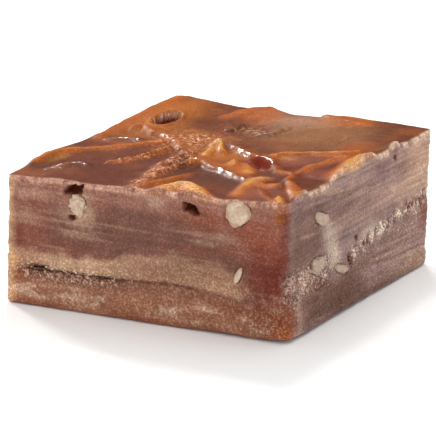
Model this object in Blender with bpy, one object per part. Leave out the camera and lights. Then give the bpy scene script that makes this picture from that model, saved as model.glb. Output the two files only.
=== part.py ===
"""A thick hand-cut slice of layered nut fudge, lying on its base.

Three layers run right through the slice: a firm base, a thin pale layer and a deep chocolate layer
whose poured top is folded into swirls. Pieces of nut sit in pockets in the cut sides, and air bubbles
open at the front, at the right and in the top. The frame's origin is the middle of the underside, the
front cut faces -Y and the right cut faces +X.
"""

import bmesh
import bpy
import numpy as np
from mathutils import Matrix, Vector, noise

MM = 0.001

# Driving dimensions of the slice.
SLAB_HEIGHT = 25 * MM
WIDTH = 60.2 * MM
DEPTH = 63.2 * MM
EDGE_RADIUS = 1.6 * MM
LAYER_GAP = 0.3 * MM
POCKET_GAP = 0.3 * MM
NUT_PROUD = 0.2 * MM
CUT_WAVE = 0.12 * MM
WAVE_LENGTH = 6 * MM

# How far each corner of the plan stands in from the full width and depth, as (across, along).
UNDER_INSET = {
    "front_left": (0, 0.9 * MM),
    "front_right": (2.2 * MM, 3.4 * MM),
    "back_right": (0, 4.4 * MM),
    "back_left": (2.9 * MM, 1.1 * MM),
}
TOP_INSET = {
    "front_left": (1.3 * MM, 0.2 * MM),
    "front_right": (2.0 * MM, 0.6 * MM),
    "back_right": (0.5 * MM, 2.0 * MM),
    "back_left": (3.2 * MM, 0),
}

# The poured top rises to the right, less so at the back, and swells in places. Each swell has a height,
# a middle and a reach, in millimetres.
TOP_RISE = 1.6 * MM
BACK_RISE_LOSS = 0.3
TOP_SWELLS = {
    "back_left": (1.0, (-24, 22), (8, 13)),
    "middle": (0.9, (-8, 4), (7, 7)),
    "left_edge": (0.9, (-30, -15), (4, 8)),
    "front_left": (0.6, (-18, -33), (5, 8)),
    "front": (1.2, (-3, -34), (9, 8)),
    "back_right": (0.5, (20, 34), (16, 8)),
}

# The seam between base and pale layer climbs from front to back, bulges up in the middle of the front
# and dips at the near corner.
SEAM_HEIGHT = 7.5 * MM
SEAM_CLIMB = 4.6 * MM
SEAM_BULGE = 0.9 * MM
SEAM_DIP = 1.5 * MM

# The pale layer is thinnest at the left of the front.
PALE_FRONT_LEFT = 3.1 * MM
PALE_FRONT_MORE = 1.9 * MM
PALE_BACK = 4.6 * MM

COARSE_CELLS = 17
SIDE_ROWS = {"base_layer": 3, "pale_layer": 2, "chocolate_layer": 6}
CURVE_STEPS = 6

# The folds of the poured top. Each is a crest or a furrow: how far it reaches to the left and to the
# right of its line, then its points as (x, y, z), all in millimetres.
FOLDS = {
    "left_ridge": (1.5, 1.2, [(-27.8, -23, 26.2), (-27, -17, 26.5), (-21, -9, 25.9), (-12.8, -1.6, 26.4)]),
    "left_rim": (1.3, 2.0, [(-26.6, -3, 25.6), (-26.4, 10, 25.8), (-25.4, 28, 26.2)]),
    "red_fold": (1.0, 1.2, [(-25, 3, 25.2), (-23, 6.5, 24.9), (-19.5, 4.5, 25.3)]),
    "step": (2.8, 1.0, [(-19, 6, 26.1), (-14.2, 3, 26.5), (-8.2, -3, 26.6)]),
    "grain_band": (1.9, 1.8, [(-3, -29.5, 26.1), (-4.7, -20, 25.9), (-5.3, -13, 26), (-4.6, -5.6, 26.4)]),
    "furrow": (1.2, 1.4, [(-4.5, 7, 25.5), (-1, 3.7, 24.7), (3, 2, 24.9)]),
    "cavity": (1.9, 1.9, [(7.6, -4.2, 25), (9.2, -3.6, 24), (12.8, -6.8, 24.2)]),
    "main_step": (3.4, 1.1, [(-0.8, -9.2, 26.5), (3.5, -11.6, 26.7), (7.6, -14.3, 26.9), (15, -18.7, 26.7)]),
    "mound": (1.6, 1.4, [(6.6, -9.6, 26.7), (6.2, -6.6, 26.7), (9.6, -8.6, 26.4), (12, -13.4, 26.7)]),
    "golden_lump": (1.7, 1.1, [(-3.4, -6.5, 26.4), (-1.9, 0.6, 27), (0.6, -2.6, 26.6)]),
    "furrow_bank": (2.4, 0.9, [(0.9, 1.8, 26.2), (4.2, -0.4, 26.4), (9, -3.4, 26.6)]),
    "cavity_rim": (1.8, 1.0, [(10.8, -3.6, 26.8), (14.9, -8.4, 27.2), (17.5, -11.5, 27.2)]),
    "loop_top": (1.2, 1.1, [(10.5, -3.2, 26.8), (12.3, -1.2, 27.1), (15.5, 0.9, 27.1), (25.5, 5, 27.6)]),
    "loop_hollow": (1.4, 1.4, [(15.5, -6, 26.3), (18, -3.5, 26), (20.2, -0.6, 26.3)]),
    "loop_low": (1.1, 1.1, [(18.5, -11.7, 27), (20.9, -10.5, 27.2), (21.1, -5.6, 27.1), (24.6, 0.8, 27.6)]),
    "rim_hollow": (1.8, 1.8, [(22, -10.6, 26), (25.7, -11.4, 26.1)]),
    "lobe": (1.5, 1.2, [(20, -19, 27.1), (16.5, -18.6, 27.5), (16, -21.5, 27.1), (16.4, -26, 26.7)]),
    "corner_furrow": (1.1, 1.1, [(19.1, -18.4, 26.4), (21.6, -17, 26.2), (24.3, -19.9, 26.5)]),
    "corner_ridge": (1.6, 1.0, [(22.4, -17, 27.2), (27.6, -24.6, 27.5)]),
    "corner_mound": (1.0, 3.0, [(20.7, -24.3, 27.1), (26.3, -30.3, 27.2)]),
    "rim_lobe": (2.8, 1.6, [(29, -9.8, 27.6), (28.3, -5, 28.2), (28.3, -1, 28.5), (29, 3.3, 28.2)]),
    "front_fold": (1.2, 1.4, [(-1.9, -28, 26.6), (1.1, -20.3, 26.2), (3.8, -14.8, 25.7)]),
    "rim_lump": (2.0, 2.6, [(2.2, -30.6, 26.4), (6, -26, 27.1), (12, -30.4, 26.6)]),
    "back_lobe": (2.0, 2.4, [(-11, 22, 25.7), (-8.4, 27.8, 26.1), (-4, 31, 25.7)]),
    "far_lobe": (3.0, 1.2, [(7.4, 28.5, 26.2), (11, 27.5, 26.4), (16.5, 28, 26.5)]),
    "long_fold": (1.1, 1.2, [(15.6, 5.7, 26.3), (19, 15, 26), (22.7, 20, 26.1)]),
}

# Nut pieces, by the cut they show in: which layers hold them, where the middle shows (along the cut,
# up), half their length, half their height, half their thickness into the cut, and the tilt in degrees.
FRONT_NUTS = {
    "nut_front_left": (["chocolate_layer"], -13.9, 20.6, 1.7, 2.0, 1.8, -10),
    "nut_front_right": (["chocolate_layer"], 19.0, 23.7, 2.3, 2.3, 2.0, -12),
    "nut_front_sliver": (["chocolate_layer", "pale_layer"], 18.5, 12.2, 0.7, 1.7, 1.6, -24),
}
RIGHT_NUTS = {
    "nut_right_long": (["chocolate_layer"], -16.2, 20.5, 3.1, 1.3, 1.8, -40),
    "nut_right_rough": (["chocolate_layer", "pale_layer"], -17.6, 12.2, 2.7, 1.6, 1.9, -12),
    "nut_right_low": (["pale_layer", "base_layer"], -8.4, 8.9, 2.8, 1.2, 1.7, -20),
}
# The same for air bubbles that open at a cut, with their depth in place of the thickness.
FRONT_HOLES = {
    "hole_front_left": (["chocolate_layer"], -14.5, 23.6, 2.2, 1.1, 2.2, 25),
    "hole_front_right": (["chocolate_layer"], 9.6, 23.5, 1.9, 1.0, 2.4, -25),
}
RIGHT_HOLES = {
    "hole_right_upper": (["chocolate_layer", "pale_layer"], -2.2, 13.5, 1.2, 0.8, 1.3, -10),
    "hole_right_lower": (["pale_layer", "base_layer"], -4.8, 9.7, 0.9, 1.6, 1.4, 20),
}
TOP_HOLE_PLACE = Vector((-20.6, 14.2, 26.2)) * MM
TOP_HOLE_HALVES = Vector((2.7, 4.1, 3.6)) * MM

# Colour, roughness of each material.
MATERIALS = {
    "cut_chocolate_fudge": ((0.205, 0.092, 0.062, 1), 0.6),
    "pale_fudge": ((0.36, 0.20, 0.13, 1), 0.75),
    "base_fudge": ((0.26, 0.125, 0.078, 1), 0.65),
    "nut_flesh": ((0.56, 0.45, 0.31, 1), 0.7),
}


def clear_scene():
    for item in list(bpy.data.objects):
        bpy.data.objects.remove(item)


def material(name):
    """A Principled material with the colour and roughness listed under the name."""
    colour, roughness = MATERIALS[name]
    made = bpy.data.materials.new(name)
    made.use_nodes = True
    shader = made.node_tree.nodes["Principled BSDF"]
    shader.inputs["Base Color"].default_value = colour
    shader.inputs["Roughness"].default_value = roughness
    shader.inputs["Metallic"].default_value = 0
    made.diffuse_color = colour
    return made


def ease(value, start, end):
    """0 below start, 1 above end, and a smooth climb between."""
    share = np.clip((value - start) / (end - start), 0, 1)
    return share * share * (3 - 2 * share)


def swell(x, y, middle, reach):
    """A round bump of height 1 at middle that fades over reach."""
    return np.exp(-(((x - middle[0]) / reach[0]) ** 2) - ((y - middle[1]) / reach[1]) ** 2)


def smooth_line(points):
    """The points joined by a Catmull-Rom curve."""
    ends = [2 * points[0] - points[1], *points, 2 * points[-1] - points[-2]]
    line = []
    for before, start, end, after in zip(ends, ends[1:], ends[2:], ends[3:]):
        for t in np.arange(CURVE_STEPS) / CURVE_STEPS:
            straight = 2 * start + (end - before) * t
            bend = (2 * before - 5 * start + 4 * end - after) * t**2
            twist = (3 * start - before - 3 * end + after) * t**3
            line.append((straight + bend + twist) / 2)
    return np.array([*line, points[-1]])


def nearest_on(line, x, y):
    """For each point, its distance from the line, the side it lies on and the line's height there."""
    best = np.full(np.shape(x), np.inf)
    side = np.zeros_like(best)
    height = np.zeros_like(best)
    for start, end in zip(line[:-1], line[1:]):
        step = end - start
        share = ((x - start[0]) * step[0] + (y - start[1]) * step[1]) / (step[0] ** 2 + step[1] ** 2)
        share = np.clip(share, 0, 1)
        away_x = x - start[0] - share * step[0]
        away_y = y - start[1] - share * step[1]
        away = np.hypot(away_x, away_y)
        closer = away < best
        best = np.where(closer, away, best)
        side = np.where(closer, step[0] * away_y - step[1] * away_x, side)
        height = np.where(closer, start[2] + share * step[2], height)
    return best, side, height


def top_height(x, y):
    """The poured top: a gentle rise to the right, its swells, and the folds drawn through it in turn."""
    rise = TOP_RISE * ease(x, -4 * MM, 22 * MM) * (1 - BACK_RISE_LOSS * ease(y, 6 * MM, 26 * MM))
    height = SLAB_HEIGHT + rise
    for swelling, middle, reach in TOP_SWELLS.values():
        height = height + swelling * MM * swell(x / MM, y / MM, middle, reach)
    for left, right, points in FOLDS.values():
        line = smooth_line(np.array(points, float) * MM)
        away, side, crest = nearest_on(line, x, y)
        reach = np.where(side > 0, left, right) * MM
        height = height + (crest - height) * np.exp(-((away / reach) ** 2))
    return height


def seam_height(x, y):
    """The top of the base layer."""
    climb = SEAM_CLIMB * ease(y, -28 * MM, 36 * MM)
    bulge = SEAM_BULGE * swell(x, y, (6 * MM, -31 * MM), (10 * MM, 14 * MM))
    dip = SEAM_DIP * swell(x, y, (24 * MM, -31 * MM), (5.5 * MM, 8 * MM))
    return SEAM_HEIGHT + climb + bulge - dip


def pale_height(x, y):
    """The top of the pale layer."""
    front = PALE_FRONT_LEFT + PALE_FRONT_MORE * ease(x, -12 * MM, 2 * MM)
    return seam_height(x, y) + front + (PALE_BACK - front) * ease(y, -22 * MM, 4 * MM)


def plan_corner(inset, across, along):
    """One corner of the plan, from how far it stands in."""
    return np.array((across * (WIDTH / 2 - inset[0]), along * (DEPTH / 2 - inset[1])))


def plan_corners(insets):
    """The corners of the plan, left to right in the front and then in the back."""
    return [
        plan_corner(insets["front_left"], -1, -1),
        plan_corner(insets["front_right"], 1, -1),
        plan_corner(insets["back_left"], -1, 1),
        plan_corner(insets["back_right"], 1, 1),
    ]


def between(corners, across, along):
    """The x and y at shares across and along the four corners."""
    front_left, front_right, back_left, back_right = (corner.reshape(2, 1) for corner in corners)
    front = front_left + (front_right - front_left) * across
    back = back_left + (back_right - back_left) * across
    return front + (back - front) * along


def plan_point(across, along, height):
    """Where the shares across and along the slice lie at this height: its sides lean a little."""
    lean = height / SLAB_HEIGHT
    under = between(plan_corners(UNDER_INSET), across, along)
    top = between(plan_corners(TOP_INSET), across, along)
    return under + (top - under) * lean


def stations(cells):
    """Shares of the width where the mesh lines run, closer together in the rounded edges."""
    radius = EDGE_RADIUS / WIDTH
    edge = [0, 0.3 * radius, 0.65 * radius, radius]
    inner = np.linspace(radius, 1 - radius, cells - 5)[1:-1]
    return np.array([*edge, *inner, *(1 - np.array(edge[::-1]))])


def round_corners(across, along):
    """Draws the corners of the unit square in to quarter circles."""
    radius = EDGE_RADIUS / WIDTH
    shares = np.array((across, along)) - 0.5
    beyond = np.maximum(np.abs(shares) - (0.5 - radius), 0)
    length = np.hypot(*beyond)
    pull = np.where(beyond.min(axis=0) > 0, beyond.max(axis=0) / np.maximum(length, 1e-12), 1)
    return 0.5 + shares - np.sign(shares) * beyond * (1 - pull)


def edges_along(mesh, axis):
    """The edges of a boxy mesh that run along this axis."""
    return [
        edge
        for edge in mesh.edges
        if abs((edge.verts[1].co - edge.verts[0].co).normalized()[axis]) > 0.99
    ]


def gridded_box(cells, rows, fine_top):
    """A box from 0 to 1 each way, cut into cells across and along and into rows up its sides."""
    mesh = bmesh.new()
    bmesh.ops.create_cube(mesh, size=1, matrix=Matrix.Translation((0.5, 0.5, 0.5)))
    for axis, cuts in ((2, rows - 1), (0, cells - 1), (1, cells - 1)):
        bmesh.ops.subdivide_edges(mesh, edges=edges_along(mesh, axis), cuts=cuts)
    if fine_top:
        roof = [edge for edge in mesh.edges if all(vert.co.z > 0.999 for vert in edge.verts)]
        bmesh.ops.subdivide_edges(mesh, edges=roof, cuts=1, use_grid_fill=True)
    return mesh


def layer(name, floor, roof, look, fine_top=False):
    """A layer of the slice between two heights, each given by a function of the place in the plan."""
    mesh = gridded_box(COARSE_CELLS, SIDE_ROWS[name], fine_top)
    shares = np.array([vert.co for vert in mesh.verts])
    even = np.linspace(0, 1, COARSE_CELLS + 1)
    lines = stations(COARSE_CELLS)
    across, along = round_corners(*(np.interp(shares[:, axis], even, lines) for axis in (0, 1)))
    middle = plan_point(across, along, SLAB_HEIGHT / 2)
    low = floor(*middle)
    height = low + (roof(*middle) - low) * shares[:, 2]
    for vert, x, y, z in zip(mesh.verts, *plan_point(across, along, height), height):
        wave = CUT_WAVE * noise.noise(Vector((x, y, z)) / WAVE_LENGTH)
        vert.co = (x + wave * np.sign(x), y + wave * np.sign(y), z)
    underside = [face for face in mesh.faces if all(vert.co.z == 0 for vert in face.verts)]
    bmesh.ops.dissolve_faces(mesh, faces=underside, use_verts=True)
    data = bpy.data.meshes.new(name)
    mesh.to_mesh(data)
    mesh.free()
    return add_object(name, data, look)


def add_object(name, data, look):
    item = bpy.data.objects.new(name, data)
    bpy.context.scene.collection.objects.link(item)
    if look:
        data.materials.append(look)
        data.shade_smooth()
    return item


def cut_frame(side, along, up):
    """Where a place on a cut lies: the axes are along the cut, into the slice and up the cut."""
    height = up * MM
    axis = 0 if side == "front" else 1

    def on_cut(share, height):
        place = plan_point(share, 0, height) if side == "front" else plan_point(1, share, height)
        return Vector((*place.ravel(), height))

    first, last = on_cut(0, height), on_cut(1, height)
    share = (along * MM - first[axis]) / (last[axis] - first[axis])
    middle = on_cut(share, height)
    run = (last - first).normalized()
    rise = (on_cut(share, SLAB_HEIGHT) - on_cut(share, 0)).normalized()
    inward = rise.cross(run).normalized()
    turned = Matrix((run, inward, run.cross(inward))).transposed().to_4x4()
    return Matrix.Translation(middle) @ turned


def lumpy_ball(halves, rounds, unevenness):
    """A ball drawn out to these half sizes, with an uneven skin."""
    mesh = bmesh.new()
    bmesh.ops.create_icosphere(mesh, subdivisions=rounds, radius=1)
    for vert in mesh.verts:
        swelling = 1 + unevenness * noise.noise(vert.co * 1.3 + Vector(halves) * 900)
        vert.co = Vector([c * h * swelling for c, h in zip(vert.co, halves)])
    return mesh


def placed(name, mesh, frame, look=None):
    data = bpy.data.meshes.new(name)
    bmesh.ops.recalc_face_normals(mesh, faces=mesh.faces)
    mesh.to_mesh(data)
    mesh.free()
    item = add_object(name, data, look)
    item.matrix_world = frame
    return item


def hollow_out(layers, names, cutter):
    """Cuts the cutter's shape out of the named layers."""
    cutter.hide_render = True
    cutter.display_type = "WIRE"
    for name in names:
        cut = layers[name].modifiers.new(cutter.name, "BOOLEAN")
        cut.operation = "DIFFERENCE"
        cut.object = cutter


def nut_piece(layers, side, name, spec, look):
    """A nut piece sliced off just proud of the cut, in a pocket of its own shape."""
    holders, along, up, half_long, half_high, half_deep, tilt = spec
    frame = cut_frame(side, along, up) @ Matrix.Rotation(np.radians(tilt), 4, "Y")
    halves = np.array((half_long, half_deep, half_high)) * MM
    mesh = lumpy_ball(halves, 3, 0.12)
    rim = bmesh.ops.bisect_plane(
        mesh,
        geom=[*mesh.verts, *mesh.edges, *mesh.faces],
        plane_co=(0, -NUT_PROUD, 0),
        plane_no=(0, -1, 0),
        clear_outer=True,
    )
    edges = [part for part in rim["geom_cut"] if isinstance(part, bmesh.types.BMEdge)]
    bmesh.ops.edgeloop_fill(mesh, edges=edges)
    placed(name, mesh, frame, look)
    pocket = placed(f"{name}_pocket", lumpy_ball(halves + POCKET_GAP, 3, 0.12), frame)
    hollow_out(layers, holders, pocket)


def air_hole(layers, side, name, spec):
    """An air bubble that opens at a cut."""
    holders, along, up, half_long, half_high, half_deep, tilt = spec
    frame = cut_frame(side, along, up) @ Matrix.Rotation(np.radians(tilt), 4, "Y")
    halves = np.array((half_long, half_deep, half_high)) * MM
    hollow_out(layers, holders, placed(name, lumpy_ball(halves, 2, 0.3), frame))


def top_hole(layers):
    """The air bubble that opens in the poured top."""
    bubble = lumpy_ball(TOP_HOLE_HALVES, 3, 0.05)
    hollow_out(layers, ["chocolate_layer"], placed("hole_top", bubble, Matrix.Translation(TOP_HOLE_PLACE)))


def main():
    clear_scene()
    looks = {name: material(name) for name in MATERIALS}
    layers = {
        "base_layer": layer("base_layer", lambda x, y: 0 * x, seam_height, looks["base_fudge"]),
        "pale_layer": layer(
            "pale_layer",
            lambda x, y: seam_height(x, y) + LAYER_GAP,
            pale_height,
            looks["pale_fudge"],
        ),
        "chocolate_layer": layer(
            "chocolate_layer",
            lambda x, y: pale_height(x, y) + LAYER_GAP,
            top_height,
            looks["cut_chocolate_fudge"],
            fine_top=True,
        ),
    }
    for side, nuts, holes in (("front", FRONT_NUTS, FRONT_HOLES), ("right", RIGHT_NUTS, RIGHT_HOLES)):
        for name, spec in nuts.items():
            nut_piece(layers, side, name, spec, looks["nut_flesh"])
        for name, spec in holes.items():
            air_hole(layers, side, name, spec)
    top_hole(layers)


main()
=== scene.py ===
"""The looks of a thick hand-cut slice of layered nut fudge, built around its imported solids.

Each layer is one closed mesh, fine enough to hold the folds of the poured top, the knife's drag lines, the
crumbling seam and the air bubbles. Every mark is a function of the place on the slice, so that the layers
meet in shape and in colour. Lengths are in millimetres up to the point where a mesh takes its vertices.
"""

import math

import bmesh
import bpy
import numpy as np
from mathutils import Matrix, Vector, noise


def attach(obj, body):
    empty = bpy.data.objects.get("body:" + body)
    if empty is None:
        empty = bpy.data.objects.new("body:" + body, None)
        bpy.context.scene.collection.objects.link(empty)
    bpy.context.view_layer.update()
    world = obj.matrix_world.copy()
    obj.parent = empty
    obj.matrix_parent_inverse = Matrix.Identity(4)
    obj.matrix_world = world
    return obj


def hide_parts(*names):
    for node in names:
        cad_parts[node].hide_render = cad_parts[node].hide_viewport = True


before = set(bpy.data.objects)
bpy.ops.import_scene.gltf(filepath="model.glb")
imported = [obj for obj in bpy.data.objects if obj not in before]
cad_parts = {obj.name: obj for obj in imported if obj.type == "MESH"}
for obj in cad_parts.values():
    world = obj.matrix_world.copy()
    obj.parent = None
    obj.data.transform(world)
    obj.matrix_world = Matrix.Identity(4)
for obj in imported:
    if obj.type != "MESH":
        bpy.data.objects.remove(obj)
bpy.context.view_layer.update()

bl_info = {
    "name": "Layered fudge slice",
    "version": (1, 0, 0),
    "blender": (4, 5, 0),
    "location": "3D View > Sidebar > Fudge",
    "description": "Builds a cut slice of layered nut fudge with a folded top",
    "category": "Add Mesh",
}

MM = 0.001

# The slab without its folds, the roundings of its upright edges and of its rims, and how far its nuts stand
# out.
WIDTH = 60.2
DEPTH = 63.2
SLAB_HEIGHT = 25.0
EDGE_RADIUS = 1.6
RIM_RADIUS = 0.7
NUT_PROUD = 0.2

# How far each corner of the plan stands in from the full width and depth, across and along: front left, front
# right, back left and back right.
UNDER_INSET = ((0, 0.9), (2.2, 3.4), (2.9, 1.1), (0, 4.4))
TOP_INSET = ((1.3, 0.2), (2.0, 0.6), (3.2, 0), (0.5, 2.0))

# The seam between base and pale layer climbs from front to back, and the pale layer is thinnest at the front
# left.
SEAM_HEIGHT = 7.5
SEAM_CLIMB = 4.6
PALE_FRONT_LEFT = 3.1
PALE_FRONT_MORE = 1.9
PALE_BACK = 4.6

# How many steps a fold's line takes from point to point, and how steeply a fold falls away from its line.
CURVE_STEPS = 8
FOLD_SHARPNESS = 1.7

# Where the crack opens along the front, where the torn band starts along the right cut, and how far over the
# seam its middle lies and how far it reaches.
CRACK_FROM = (-28, -25)
TORN_FROM = (-7, -2)
TORN_MIDDLE = 2.0
TORN_REACH = 1.15

# How many cells each coarse cell of the mesh is cut into each way, and how near to a face counts as on it.
FINE = 4
ON_FACE = 0.0001

# Half the floor's width and its gap under the slice, in metres, and the place that the camera looks at, in
# millimetres.
FLOOR_HALF = 3
FLOOR_GAP = 0.0001
AIM = (-2.57, 2.38, 11.17)

# The folds of the poured top, in the order in which they lie over each other. Each is a crest or a furrow:
# its reach to the left and to the right of its line, how much caramel shows on it, how wet it looks, and its
# line.
FOLDS = {
    "plain_ridge": (0.7, 0.9, 0.2, 1.0, [(-23.6, -24.5, 25.5), (-22.4, -21.4, 25.8), (-19.6, -18.8, 25.6)]),
    "left_ridge": (1.5, 0.9, 0.65, 0.0, [(-27.8, -23, 26.2), (-27.2, -17, 26.5), (-24.6, -12.2, 26),
        (-19.3, -6.6, 25.8), (-12.8, -1.6, 26.4)]),
    "left_crease": (0.35, 0.45, 0.6, 0.1, [(-16.4, -16.4, 25.5), (-12.6, -10.9, 25.9), (-9.6, -3.9, 26.3)]),
    "left_crease_low": (0.4, 0.5, 0.5, 0.2, [(-14.6, -15.6, 25.4), (-11.8, -11.2, 25.6), (-9.4, -7.6, 25.8)]),
    "pale_ridge": (0.8, 0.9, 0.3, 1.0, [(-24.5, -3.2, 25.5), (-22, -1.9, 25.8), (-18.4, -0.5, 25.7)]),
    "red_fold": (0.5, 1.0, 0.0, 0.0, [(-24.3, 2.1, 25.3), (-24, 6, 24.9), (-19.6, 4.6, 25.3)]),
    "left_rim": (1.2, 1.8, 0.55, 0.0, [(-26.6, -2.6, 25.6), (-26.4, 9.6, 25.8), (-26, 20, 26.1),
        (-25.4, 27.8, 26.2)]),
    "hole_lip": (0.9, 0.9, 0.5, 0.1, [(-23.3, 6.1, 26.1), (-21.5, 7, 26.2), (-17.8, 4.2, 26.2)]),
    "step": (2.4, 0.6, 0.5, 0.75, [(-19.3, 6, 25.9), (-14.3, 3, 26.1), (-11.2, 0.5, 26.2), (-8.2, -3, 26.2)]),
    "grain_band": (1.7, 1.5, 0.5, 0.0, [(-3, -29.5, 26.1), (-4.3, -22.8, 25.8), (-5.6, -13, 26),
        (-4.6, -5.6, 26.4)]),
    "grain_lip": (0.7, 0.6, 0.7, 0.1, [(-3.9, -20.5, 25.8), (-3.1, -14.5, 26.1), (-1.6, -10.5, 26.5),
        (0.8, -9.5, 26.6)]),
    "furrow": (0.8, 1.1, 0.1, 0.0, [(-4.4, 7, 25.6), (-1.1, 3.9, 24.6), (0.7, 3.2, 24.5), (2.9, 2.1, 24.9)]),
    "main_step": (3.2, 0.7, 0.62, 1.0, [(-0.8, -9.2, 26.3), (3.5, -11.6, 26.4), (7.6, -14.3, 26.7),
        (15, -18.7, 27.0)]),
    "mound": (1.3, 1.1, 0.8, 0.1, [(6.6, -9.6, 26.7), (6.2, -6.6, 26.7), (8, -6.1, 26.5), (9.6, -8.6, 26.4),
        (12, -13.4, 26.7)]),
    "golden_lump": (0.6, 1.0, 1.0, 0.3, [(-2.2, -4.8, 26), (-2.6, -0.8, 26.2), (-3.1, 1.6, 26.9),
        (-2.3, 2.1, 26.9), (-1.1, 0.8, 26.6), (0.3, -0.8, 26.3)]),
    "cavity": (1.9, 1.9, 0.0, 0.0, [(7.2, -4.8, 25.2), (9.2, -4.4, 24.2), (12.6, -7.4, 24.4)]),
    "furrow_bank": (2.2, 0.6, 0.45, 1.0, [(0.9, 1.8, 26.2), (4.2, -0.4, 26.4), (7.1, -2.3, 26.5),
        (9, -3.4, 26.6)]),
    "cavity_rim": (1.6, 0.7, 0.55, 1.0, [(10.8, -3.6, 26.8), (12.3, -5.3, 27), (14.9, -8.4, 27.2),
        (17.5, -11.5, 27.2)]),
    "loop_top": (0.8, 0.7, 0.75, 0.1, [(10.5, -3.2, 26.8), (12.3, -1.2, 27.1), (15.5, 0.9, 27.1),
        (22, 3.4, 27.4), (25.5, 5, 27.6)]),
    "loop_inner": (1.4, 1.4, 0.1, 0.1, [(15.5, -6, 26.3), (18, -3.5, 26), (20.2, -0.6, 26.3)]),
    "loop_low": (0.9, 0.9, 0.6, 0.15, [(18.5, -11.7, 27), (20.9, -10.5, 27.2), (21.1, -5.6, 27.1),
        (24.6, 0.8, 27.6)]),
    "rim_hollow": (1.6, 1.6, 0.1, 0.1, [(22, -10.6, 26), (23.6, -10.5, 25.9), (25.7, -11.4, 26.1)]),
    "lobe": (1.3, 1.1, 0.85, 0.15, [(20, -19, 27.1), (17.6, -17.6, 27.5), (16.3, -18.6, 27.5),
        (16, -21.5, 27.1), (16.4, -26, 26.7)]),
    "link_ridge": (0.7, 0.8, 0.6, 0.2, [(19, -19.1, 27.3), (20.8, -19, 27.3), (21.4, -17.1, 27.3),
        (20.8, -13.5, 27.2)]),
    "corner_furrow": (0.8, 0.8, 0.1, 0.0, [(19.1, -18.4, 26.4), (21.2, -17, 26.2), (24.3, -19.9, 26.5)]),
    "corner_ridge": (1.4, 0.6, 0.7, 0.4, [(22.4, -17, 27.2), (25.5, -21.5, 27.4), (27.6, -24.6, 27.5)]),
    "mound_flank": (0.5, 2.6, 0.15, 0.0, [(20.7, -24.3, 27.1), (23.6, -27.7, 27.2), (26.3, -30.3, 27.1)]),
    "drip_line": (0.6, 0.5, 0.5, 1.0, [(19.6, -22.6, 27.2), (20.4, -23.9, 27.4), (23.3, -26.8, 27.5),
        (25.4, -28.8, 27.4)]),
    "corner_drip": (0.9, 0.8, 1.0, 0.3, [(25.4, -26.6, 27.6), (27.4, -29.6, 27.5), (28.6, -31.6, 26.9)]),
    "rim_bump": (0.9, 1.2, 0.7, 0.1, [(27.3, -22.8, 27.3), (27.8, -21.1, 27.6), (29, -21.4, 27.4)]),
    "rim_lobe": (2.4, 1.2, 0.8, 0.0, [(29, -9.8, 27.6), (28.3, -5, 28.2), (28.3, -1, 28.5), (29, 3.3, 28.2)]),
    "pale_lump": (1.3, 1.3, 0.3, 0.0, [(28, 10.8, 27), (28.8, 12.4, 27.6), (29.4, 13.8, 27.6),
        (30, 15.4, 27)]),
    "front_fold": (0.8, 1.1, 0.5, 0.0, [(-1.9, -28, 26.6), (-1, -25, 26.4), (1.1, -20.3, 26.2),
        (2.4, -16.6, 26), (3.8, -14.8, 25.7)]),
    "fold_shade": (0.7, 0.7, 0.15, 0.0, [(0.6, -27, 25.8), (1.7, -24, 25.6), (2.9, -21, 25.7)]),
    "rim_lump": (2.0, 2.6, 1.0, 0.0, [(2.2, -30.6, 26.6), (3.6, -28, 27.2), (6, -26.6, 27.7),
        (9, -27.8, 27.5), (12, -30.6, 26.8)]),
    "back_crease": (0.35, 0.35, 0.2, 1.0, [(-6.4, 12.2, 25.9), (-5.3, 13.8, 26), (-4.9, 17, 26)]),
    "back_line": (0.35, 0.35, 0.25, 1.0, [(0.6, 11.4, 26.1), (3.1, 13.6, 26.2), (4.3, 18.6, 26.1)]),
    "dark_fold": (0.8, 0.8, 0.1, 0.1, [(-1.3, 9, 25.5), (0.3, 11.6, 25.5), (1.8, 13.7, 25.6)]),
    "back_lobe": (1.8, 2.2, 0.5, 0.0, [(-11.1, 21.8, 25.7), (-8.9, 26.6, 26), (-5.9, 29.6, 26.1),
        (-3.8, 30.7, 25.7)]),
    "far_lobe": (3.0, 0.6, 0.55, 0.3, [(7.4, 28.5, 26.2), (11.4, 26.8, 26.4), (15.6, 25.7, 26.4)]),
    "far_rim": (1.4, 1.6, 0.6, 0.0, [(11.2, 29.1, 26.4), (13.7, 30.5, 26.6), (16.8, 31.2, 26.3)]),
    "long_fold": (0.7, 0.9, 0.1, 0.1, [(15.6, 5.7, 26.3), (18.3, 12.6, 26.1), (20, 18, 26),
        (22.7, 20, 26.1)]),
    "long_lip": (0.6, 0.8, 0.2, 0.1, [(18.2, 14.6, 26.5), (20.6, 19.2, 26.5), (22.6, 23.3, 26.4)]),
}

# Folds whose crest is thick with sugar grain.
GRAINY = ("left_crease", "left_crease_low", "grain_band", "grain_lip")

# Air bubbles that open at the cuts: middle, half sizes, tilt in degrees and depth. The one in the top isn't
# tilted.
FRONT_HOLES = [
    ((-14.5, 23.9), (2.2, 1.1), 25, 2.6),
    ((9.6, 23.6), (1.9, 1.0), -25, 2.8),
    ((-15.2, 18.5), (0.7, 0.45), 0, 0.9),
]
RIGHT_HOLES = [
    ((-2.4, 13.2), (0.9, 0.5), -30, 1.0),
    ((-5.0, 9.7), (0.7, 1.7), 25, 1.6),
    ((13.4, 24.6), (0.5, 0.7), 0, 0.7),
]
TOP_HOLE = ((-20.4, 14.0), (2.35, 4.6), 4.5)

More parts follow.
